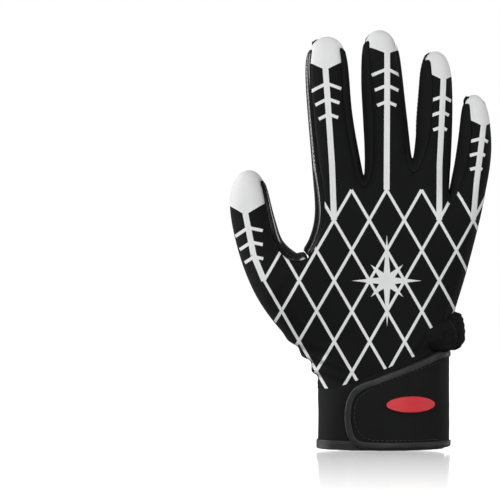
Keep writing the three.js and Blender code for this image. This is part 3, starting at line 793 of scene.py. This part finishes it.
def ring_path(tree, z, middle=(-1.8 * MM, 0), stops=160):
    """A level path round the outside of the wrist, laid on a surface."""
    path = []
    for k in range(stops):
        turn = 2 * math.pi * k / stops
        outward = Vector((math.cos(turn), math.sin(turn), 0))
        start = Vector((middle[0], middle[1], z)) + outward * 0.1
        place, normal, _, _ = tree.ray_cast(start, -outward)
        if place is not None:
            path.append((place, normal))
    return path


def shade_smooth(piece, angle=40):
    """Smooth shading, with edges sharper than an angle kept."""
    make_active(piece)
    bpy.ops.object.shade_smooth_by_angle(angle=math.radians(angle))


def finish_piece(piece, slot, *nodes):
    """Puts a finished piece on the part's body, in place of the solids that it stands for."""
    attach(piece, "root")
    if nodes:
        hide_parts(*nodes)


# Print


def cut_and_mark(mesh, faces, planes, mark):
    """Cuts faces by planes, and gives those on the inner side of every plane a material number."""
    geometry = set(faces)
    for point, outward in planes:
        parts = list(geometry)
        parts += {edge for face in geometry for edge in face.edges}
        parts += {corner for face in geometry for corner in face.verts}
        cut = bmesh.ops.bisect_plane(
            mesh, geom=parts, dist=0.002 * MM, plane_co=point, plane_no=outward
        )
        geometry = {g for g in cut["geom"] if isinstance(g, bmesh.types.BMFace)}
    for face in geometry:
        middle = face.calc_center_median()
        if all((middle - point).dot(outward) < 0 for point, outward in planes):
            face.material_index = mark


def print_polygon(mesh, corners, furthest_turn=-0.25):
    """Prints a convex area, whose corners, (x, z), run anticlockwise, from behind the hand.

    Faces that turn to the palm by more than furthest_turn, the Y of their normal, stay plain.
    """
    points = [Vector((x * MM, 0, z * MM)) for x, z in corners]
    low_x = min(p.x for p in points) - 2 * MM
    high_x = max(p.x for p in points) + 2 * MM
    low_z = min(p.z for p in points) - 2 * MM
    high_z = max(p.z for p in points) + 2 * MM
    faces = []
    for face in mesh.faces:
        middle = face.calc_center_median()
        inside = low_x < middle.x < high_x and low_z < middle.z < high_z
        if inside and face.normal.y < furthest_turn:
            faces.append(face)
    planes = []
    for start, end in zip(points, points[1:] + points[:1]):
        along = (end - start).normalized()
        planes.append((start, Vector((along.z, 0, -along.x))))
    cut_and_mark(mesh, faces, planes, 1)


def print_line(mesh, start, end, width):
    """Prints a straight line with square ends, between two points (x, z)."""
    a, b = Vector(start), Vector(end)
    side = (b - a).orthogonal().normalized() * (width / MM / 2)
    print_polygon(mesh, [a - side, b - side, b + side, a + side])


def print_tip(mesh, tip, furthest_turn=1.1):
    """Prints a fingertip white, down to a shallow V."""
    top = tip["z"] + 60
    rise = tip["slope"]
    left, right, x, z = tip["from_x"], tip["to_x"], tip["x"], tip["z"]
    low_left = (left, z + rise * (x - left))
    low_right = (right, z + rise * (right - x))
    print_polygon(mesh, [(x, z), (x, top), (left, top), low_left], furthest_turn)
    print_polygon(mesh, [(x, z), low_right, (right, top), (x, top)], furthest_turn)


def print_stripe(mesh, row, width):
    """Prints a finger's stripe and its cross bars, square to it."""
    points = [Vector(point) for point in row["path"]]
    for start, end in zip(points, points[1:]):
        print_line(mesh, start, end, width)
    top, down = points[0], (points[1] - points[0]).normalized()
    across = Vector((-down.y, down.x))
    share = 1.0
    for height in row["bars"]:
        middle = top + down * ((height - top.y) / down.y)
        for reach in (-row["left"] * share, row["right"] * share):
            end = middle + across * reach + down * (abs(reach) * BAR_DROP)
            print_line(mesh, middle, end, width * BAR_WIDTH)
        share *= BAR_SHORTENING


def print_lattice(mesh, box, width):
    """Prints the diamond lattice's lines, clipped to a box."""
    centre = Vector(LATTICE_MM["centre"])
    for angle in LATTICE_MM["angles"]:
        slant = math.radians(angle)
        along = Vector((math.sin(slant), math.cos(slant)))
        across = Vector((math.cos(slant), -math.sin(slant)))
        for step in range(-LATTICE_MM["count"], LATTICE_MM["count"] + 1, 2):
            middle = centre + across * (step * LATTICE_MM["spacing"] / 2)
            ends = [
                sorted(((box["low"] - middle.y) / along.y, (box["high"] - middle.y) / along.y)),
                sorted(((box["left"] - middle.x) / along.x, (box["right"] - middle.x) / along.x)),
            ]
            low, high = max(e[0] for e in ends), min(e[1] for e in ends)
            if high - low > 1:
                print_line(mesh, middle + along * low, middle + along * high, width)


def print_star(mesh):
    """Prints the eight-pointed star as kites that meet in its middle."""
    middle = Vector((STAR_MM["x"], STAR_MM["z"]))
    points = 8
    reaches = [STAR_MM[key] for key in ("level", "slanting", "upright", "slanting")]
    for k in range(points):
        reach = reaches[k % len(reaches)]
        turn = 2 * math.pi * k / points
        half = math.pi / points
        tip = middle + Vector((math.cos(turn), math.sin(turn))) * reach
        before = middle + Vector((math.cos(turn - half), math.sin(turn - half))) * STAR_MM["waist"]
        after = middle + Vector((math.cos(turn + half), math.sin(turn + half))) * STAR_MM["waist"]
        print_polygon(mesh, [middle, before, tip, after])


def print_back(piece, sizes):
    """Cuts the whole print into the back panel's outer skin."""
    mesh = bmesh.new()
    mesh.from_mesh(piece.data)
    for box in LATTICE_BOXES_MM:
        print_lattice(mesh, box, sizes.line_width)
    print_star(mesh)
    for row in FINGER_STRIPES_MM:
        print_stripe(mesh, row, sizes.stripe_width)
    for tip in TIPS_MM:
        print_tip(mesh, tip)
    mesh.to_mesh(piece.data)
    mesh.free()


def print_strip(piece, node):
    """Carries the white of a fingertip over the side strip that it wraps onto, on that finger."""
    finger = WRAPPED_STRIPS.get(node)
    if finger is None:
        return
    tip = next(row for row in TIPS_MM if row["name"] == finger)
    mesh = bmesh.new()
    mesh.from_mesh(piece.data)
    print_tip(mesh, tip, 0.0)
    mesh.to_mesh(piece.data)
    mesh.free()


# Stitches


def inset_path(sheet, loop, inset):
    """A path on a sheet that keeps a distance inside one of its edges, with the sheet's normals."""
    tree = BVHTree.FromObject(sheet, bpy.context.evaluated_depsgraph_get())
    vertices = sheet.data.vertices
    count = len(loop)
    path = []
    for i, index in enumerate(loop):
        here = vertices[index].co
        along = vertices[loop[(i + 2) % count]].co - vertices[loop[i - 2]].co
        inward = vertices[index].normal.cross(along).normalized()
        for way in (inward, -inward):
            place, normal, _, distance = tree.find_nearest(here + way * inset)
            if distance < inset * FURTHEST_OFF_SHEET:
                path.append((place, normal))
                break
    return path


def evenly_spaced(path, pitch, closed):
    """Points a pitch apart along a path, each with its normal and direction."""
    stops = path + path[:1] if closed else path
    out = []
    left = pitch / 2
    for (a, normal_a), (b, normal_b) in zip(stops, stops[1:]):
        step = b - a
        length = step.length
        if length > LONGEST_GAP * pitch:
            left = pitch / 2
            continue
        while left <= length and length > 0:
            share = left / length
            out.append((a.lerp(b, share), normal_a.lerp(normal_b, share).normalized(), step.normalized()))
            left += pitch
        left -= length
    return out


def model_stitch(sizes):
    """One stitch: a short rounded length of thread, along X, as a mesh."""
    bpy.ops.object.select_all(action="DESELECT")
    bpy.ops.mesh.primitive_uv_sphere_add(segments=6, ring_count=4, radius=sizes.thread_radius)
    stitch = bpy.context.object
    stretch = sizes.stitch_length / 2 - sizes.thread_radius
    for vertex in stitch.data.vertices:
        vertex.co = (vertex.co.z, vertex.co.y, -vertex.co.x)
        vertex.co.x += math.copysign(stretch, vertex.co.x) if abs(vertex.co.x) > 1e-7 else 0
    mesh = stitch.data.copy()
    bpy.data.objects.remove(stitch)
    return mesh


def sew(name, places, stitch, material, sink=0.1 * MM):
    """A row of stitches as one mesh: a copy of the one stitch at every place."""
    row = bmesh.new()
    for place, normal, along in places:
        side = normal.cross(along).normalized()
        along = side.cross(normal)
        turn = Matrix((along, side, normal)).transposed().to_4x4()
        copy = bmesh.new()
        copy.from_mesh(stitch)
        copy.transform(Matrix.Translation(place - normal * sink) @ turn)
        mesh = bpy.data.meshes.new("stitch")
        copy.to_mesh(mesh)
        copy.free()
        row.from_mesh(mesh)
        bpy.data.meshes.remove(mesh)
    data = bpy.data.meshes.new(name)
    row.to_mesh(data)
    row.free()
    piece = add_object(name, data)
    data.materials.append(material)
    make_active(piece)
    bpy.ops.object.shade_smooth()
    return piece


def material_of(name, make, *values):
    """A material that is made once and then shared."""
    return bpy.data.materials.get(name) or make(*values)


def dress(piece, *materials):
    """Gives a piece its materials, in the order of its slots."""
    for material in materials:
        piece.data.materials.append(material)


def solid_piece(node, name, slot, material, shape, smooth=50):
    """A copy of a solid, made smooth and uneven as its row of shape says, and finished."""
    piece = copy_of_node(node, name)
    if "sharp" in shape:
        crease_sharp_edges(piece, shape["sharp"])
    subdivide(piece, shape["levels"], shape.get("rounds", 2))
    if "edge" in shape:
        round_edges(piece, shape["edge"] * MM)
    if "uneven" in shape:
        roughen(piece, shape["uneven"] * MM, shape["patch"] * MM)
    dress(piece, material)
    shade_smooth(piece, smooth)
    finish_piece(piece, slot, node)
    return piece


class PieceOperator:
    """What the operators share: the sizes and colours of the scene."""

    bl_options = {"REGISTER", "UNDO"}

    def sizes(self, context):
        return context.scene.glove_sizes

    def colours(self, context):
        return context.scene.glove_colours


class GLOVE_OT_back_panel(PieceOperator, bpy.types.Operator):
    """Sew the knit back of the hand and print it"""

    bl_idname = "glove.back_panel"
    bl_label = "Back Panel"

    def execute(self, context):
        sizes, colours = self.sizes(context), self.colours(context)
        piece = copy_of_node("back_panel", "knit_back", True)
        subdivide(piece, sizes.cloth_levels)
        shape_cloth(piece, sizes)
        print_back(piece, sizes)
        lining = material_of("lining", lining_material, colours.knit)
        knit = knit_material("stretch_knit", colours.knit)
        white = material_of("white_print", print_material, colours.print_white)
        dress(piece, knit, white, lining, lining)
        thicken(piece, sizes.knit_thickness, 2)
        shade_smooth(piece)
        finish_piece(piece, "knit", "back_panel")
        return {"FINISHED"}


class GLOVE_OT_palm(PieceOperator, bpy.types.Operator):
    """Sew the glossy palm and the palm side of the thumb, with their stitches"""

    bl_idname = "glove.palm"
    bl_label = "Palm"

    def execute(self, context):
        sizes, colours = self.sizes(context), self.colours(context)
        coat = palm_material(colours.palm)
        lining = material_of("lining", lining_material, colours.knit)
        thread = material_of("sewing_thread", thread_material, colours.thread)
        stitch = model_stitch(sizes)
        fronts = []
        for node, name in (("palm_panel", "palm"), ("thumb_palm", "thumb_front")):
            piece = copy_of_node(node, name, True)
            subdivide(piece, sizes.cloth_levels)
            shape_cloth(piece, sizes, PALM_UNEVENNESS, PALM_PATCH)
            places = []
            for loop in rim_loops(piece):
                path = inset_path(piece, loop, sizes.seam_inset)
                places += evenly_spaced(path, sizes.stitch_pitch, True)
            row = sew(f"{name}_stitches", places, stitch, thread)
            finish_piece(row, "tacky_palm")
            dress(piece, coat, lining)
            thicken(piece, sizes.palm_thickness, 1)
            shade_smooth(piece)
            finish_piece(piece, "tacky_palm", node)
            fronts.append(piece)
        tree = surface_of(*fronts)
        places = []
        for corners in TONGUE_STITCHES_MM:
            path = path_on_surface(tree, corners, 1)
            places += evenly_spaced(path, sizes.stitch_pitch, False)
        row = sew("tongue_stitches", places, stitch, thread)
        finish_piece(row, "tacky_palm")
        return {"FINISHED"}


class GLOVE_OT_side_strips(PieceOperator, bpy.types.Operator):
    """Sew the knit strips between the fingers"""

    bl_idname = "glove.side_strips"
    bl_label = "Side Strips"

    def execute(self, context):
        sizes, colours = self.sizes(context), self.colours(context)
        knit = knit_material("strip_knit", colours.side_knit, STRIP_KNIT_PITCH)
        lining = material_of("lining", lining_material, colours.knit)
        white = material_of("white_print", print_material, colours.print_white)
        for node in FINGER_STRIPS:
            piece = copy_of_node(node, node.replace("fourchette", "side_strip"), True)
            subdivide(piece, sizes.cloth_levels, 1)
            shape_cloth(piece, sizes, creases=False)
            print_strip(piece, node)
            dress(piece, knit, white, lining, lining)
            thicken(piece, sizes.knit_thickness, 2)
            shade_smooth(piece)
            finish_piece(piece, "side_knit", node)
        return {"FINISHED"}


class GLOVE_OT_gather(PieceOperator, bpy.types.Operator):
    """Fold the bunch of knit at the little-finger side"""

    bl_idname = "glove.gather"
    bl_label = "Side Gather"

    def execute(self, context):
        hand = surface_of(bpy.data.objects["knit_back"], bpy.data.objects["palm"])
        piece = make_bunch(hand)
        dress(piece, bpy.data.materials["stretch_knit"])
        shade_smooth(piece, 50)
        finish_piece(piece, "knit", "side_gather")
        return {"FINISHED"}


class GLOVE_OT_cuff(PieceOperator, bpy.types.Operator):
    """Make the wrist cuff, its bound edge and the stitches above it"""

    bl_idname = "glove.cuff"
    bl_label = "Cuff"

    def execute(self, context):
        sizes, colours = self.sizes(context), self.colours(context)
        thread = material_of("sewing_thread", thread_material, colours.thread)
        band, tape = band_material(colours.band), tape_material(colours.tape)
        solid_piece("cuff", "cuff_band", "wrist_band", band, SHAPES["cuff"])
        binding = solid_piece(
            "cuff_binding", "cuff_tape", "tape", tape, SHAPES["cuff_binding"], 60
        )
        stitch = model_stitch(sizes)
        tree = surface_of(binding)
        path = ring_path(tree, CUFF_STITCH_HEIGHT)
        row = sew("cuff_stitches", evenly_spaced(path, sizes.stitch_pitch, True), stitch, thread)
        finish_piece(row, "tape")
        return {"FINISHED"}


class GLOVE_OT_strap(PieceOperator, bpy.types.Operator):
    """Make the wrist strap, its bound edge, stitches and plain patch"""

    bl_idname = "glove.strap"
    bl_label = "Strap"

    def execute(self, context):
        sizes, colours = self.sizes(context), self.colours(context)
        thread = material_of("sewing_thread", thread_material, colours.thread)
        band, tape = bpy.data.materials["foam_band"], bpy.data.materials["binding_tape"]
        strap = solid_piece("strap", "strap_band", "wrist_band", band, SHAPES["strap"])
        binding = solid_piece(
            "strap_binding", "strap_tape", "tape", tape, SHAPES["strap_binding"], 60
        )
        red = patch_material(colours.patch)
        solid_piece("badge", "plain_patch", "red_patch", red, SHAPES["badge"])
        path = path_on_surface(surface_of(strap, binding), STRAP_STITCHES_MM)
        places = evenly_spaced(path, sizes.stitch_pitch, False)
        row = sew("strap_stitches", places, model_stitch(sizes), thread)
        finish_piece(row, "wrist_band")
        return {"FINISHED"}


class GLOVE_OT_stage(PieceOperator, bpy.types.Operator):
    """Set the floor, the lights and the camera"""

    bl_idname = "glove.stage"
    bl_label = "Stage"

    def execute(self, context):
        light_stage(make_floor())
        context.scene.view_settings.view_transform = "Standard"
        place_camera()
        return {"FINISHED"}


# Stage

CAMERA_MM = {"x": -73.4, "z": 108.7, "distance": 1500.0, "frame_width": 275.0}
FLOOR_DROP_MM = 1.6
SENSOR_MM = 36
LIT_POINT = (0, 0, 0.12)
FLOOR_SIZE = 2.88
# The soft boxes: name, place in metres, width and height in metres, power in watts
SOFT_BOXES = (
    ("key_box", (-0.7, -0.8, 0.9), (0.6, 0.6), 7.6),
    ("front_box", (0.3, -1.6, 0.5), (0.9, 0.9), 8),
    ("side_box", (0.9, -0.4, 0.4), (0.3, 0.9), 2.5),
    ("rim_box", (-0.9, 0.25, 0.3), (0.25, 0.9), 4),
    ("palm_left_box", (0.75, 0.6, 0.4), (0.12, 0.9), 1.2),
    ("palm_right_box", (-0.8, 0.5, 0.5), (0.12, 0.9), 1.8),
)
# The four walls of light that only the floor receives
WALLS = {"reach": 1.45, "height": 0.3, "size": (2.9, 0.66), "power": 7}
# The floor's painted glow, which the camera alone sees, rising from where the cuff stands to where its
# mirror image has faded, in metres
FLOOR_PAINTED_GLOW = {"From_Min": -0.03, "From_Max": -0.3, "To_Min": 0.44, "To_Max": 1.0}


def make_floor():
    """A white, slightly glossy floor just under the cuff, whose mirror image fades to the front, with a
    painted glow for the camera alone that is dimmer near the cuff.
    """
    bpy.ops.object.select_all(action="DESELECT")
    bpy.ops.mesh.primitive_plane_add(size=FLOOR_SIZE, location=(0, 0, -FLOOR_DROP_MM * MM))
    floor = bpy.context.object
    floor.name = "floor"
    white = (1, 1, 1, 1)
    gloss = Surface(
        "white_floor", Roughness=0.12, Base_Color=(0.25, 0.25, 0.25, 1), Emission_Color=white
    )
    # Painted glow: the floor glows for the camera alone, dimmer near the cuff and full further to the
    # front.
    axes = gloss.add("ShaderNodeSeparateXYZ")
    gloss.link(gloss.vector, axes.inputs["Vector"])
    painted_glow_ramp = gloss.add("ShaderNodeMapRange", **FLOOR_PAINTED_GLOW)
    gloss.link(axes.outputs["Y"], painted_glow_ramp.inputs["Value"])
    path = gloss.add("ShaderNodeLightPath")
    glow = gloss.maths("MULTIPLY", painted_glow_ramp.outputs["Result"], path.outputs["Is Camera Ray"])
    gloss.link(glow, gloss.shader.inputs["Emission Strength"])
    floor.data.materials.append(gloss.material)
    return floor


def area_light(name, place, target, size, power):
    """A soft rectangular light that faces a target, in metres and watts."""
    data = bpy.data.lights.new(name, "AREA")
    data.shape = "RECTANGLE"
    data.size, data.size_y = size
    data.energy = power
    light = add_object(name, data)
    light.location = place
    direction = Vector(target) - Vector(place)
    light.rotation_euler = direction.to_track_quat("-Z", "Y").to_euler()
    return light


def light_stage(floor):
    """Soft studio light: a white backdrop, a dim room, soft boxes, and white walls for the floor."""
    world = bpy.data.worlds.new("studio")
    bpy.context.scene.world = world
    world.use_nodes = True
    nodes, links = world.node_tree.nodes, world.node_tree.links
    room = nodes["Background"]
    room.inputs["Color"].default_value = (1, 1, 1, 1)
    room.inputs["Strength"].default_value = 0.07
    backdrop = nodes.new("ShaderNodeBackground")
    backdrop.inputs["Color"].default_value = (1, 1, 1, 1)
    backdrop.inputs["Strength"].default_value = 1.0
    path = nodes.new("ShaderNodeLightPath")
    mix = nodes.new("ShaderNodeMixShader")
    links.new(path.outputs["Is Camera Ray"], mix.inputs["Fac"])
    links.new(room.outputs["Background"], mix.inputs[1])
    links.new(backdrop.outputs["Background"], mix.inputs[2])
    links.new(mix.outputs["Shader"], nodes["World Output"].inputs["Surface"])
    for name, place, size, power in SOFT_BOXES:
        area_light(name, place, LIT_POINT, size, power)
    only_floor = bpy.data.collections.new("lit_by_walls")
    only_floor.objects.link(floor)
    for name, x, y in (("north", 0, 1), ("south", 0, -1), ("east", 1, 0), ("west", -1, 0)):
        place = (x * WALLS["reach"], y * WALLS["reach"], WALLS["height"])
        target = (0, 0, WALLS["height"])
        wall = area_light(f"{name}_wall", place, target, WALLS["size"], WALLS["power"])
        wall.light_linking.receiver_collection = only_floor
        wall.visible_camera = False


def place_camera():
    """The photograph's camera: level, straight on to the back of the hand."""
    data = bpy.data.cameras.new("photo_camera")
    data.sensor_width = SENSOR_MM
    data.lens = SENSOR_MM * CAMERA_MM["distance"] / CAMERA_MM["frame_width"]
    data.clip_start = 0.01
    data.clip_end = 20
    camera = add_object("photo_camera", data)
    place = Vector((CAMERA_MM["x"], -CAMERA_MM["distance"], CAMERA_MM["z"]))
    camera.location = place * MM
    camera.rotation_euler = (math.radians(90), 0, 0)
    bpy.context.scene.camera = camera


OPERATORS = (
    GLOVE_OT_back_panel,
    GLOVE_OT_palm,
    GLOVE_OT_side_strips,
    GLOVE_OT_gather,
    GLOVE_OT_cuff,
    GLOVE_OT_strap,
    GLOVE_OT_stage,
)


class GLOVE_PT_panel(bpy.types.Panel):
    """The glove's pieces, sizes and colours in the sidebar"""

    bl_label = "Football Glove"
    bl_space_type = "VIEW_3D"
    bl_region_type = "UI"
    bl_category = "Glove"

    def draw(self, context):
        layout = self.layout
        for settings in (context.scene.glove_sizes, context.scene.glove_colours):
            for key in settings.bl_rna.properties.keys():
                if key not in ("rna_type", "name"):
                    layout.prop(settings, key)
        for operator in OPERATORS:
            layout.operator(operator.bl_idname)


CLASSES = (GloveSizes, GloveColours, *OPERATORS, GLOVE_PT_panel)


def register():
    for cls in CLASSES:
        bpy.utils.register_class(cls)
    bpy.types.Scene.glove_sizes = PointerProperty(type=GloveSizes)
    bpy.types.Scene.glove_colours = PointerProperty(type=GloveColours)


def unregister():
    del bpy.types.Scene.glove_colours
    del bpy.types.Scene.glove_sizes
    for cls in reversed(CLASSES):
        bpy.utils.unregister_class(cls)


def main():
    register()
    for operator in OPERATORS:
        group, name = operator.bl_idname.split(".")
        getattr(getattr(bpy.ops, group), name)()


if __name__ == "__main__":
    main()
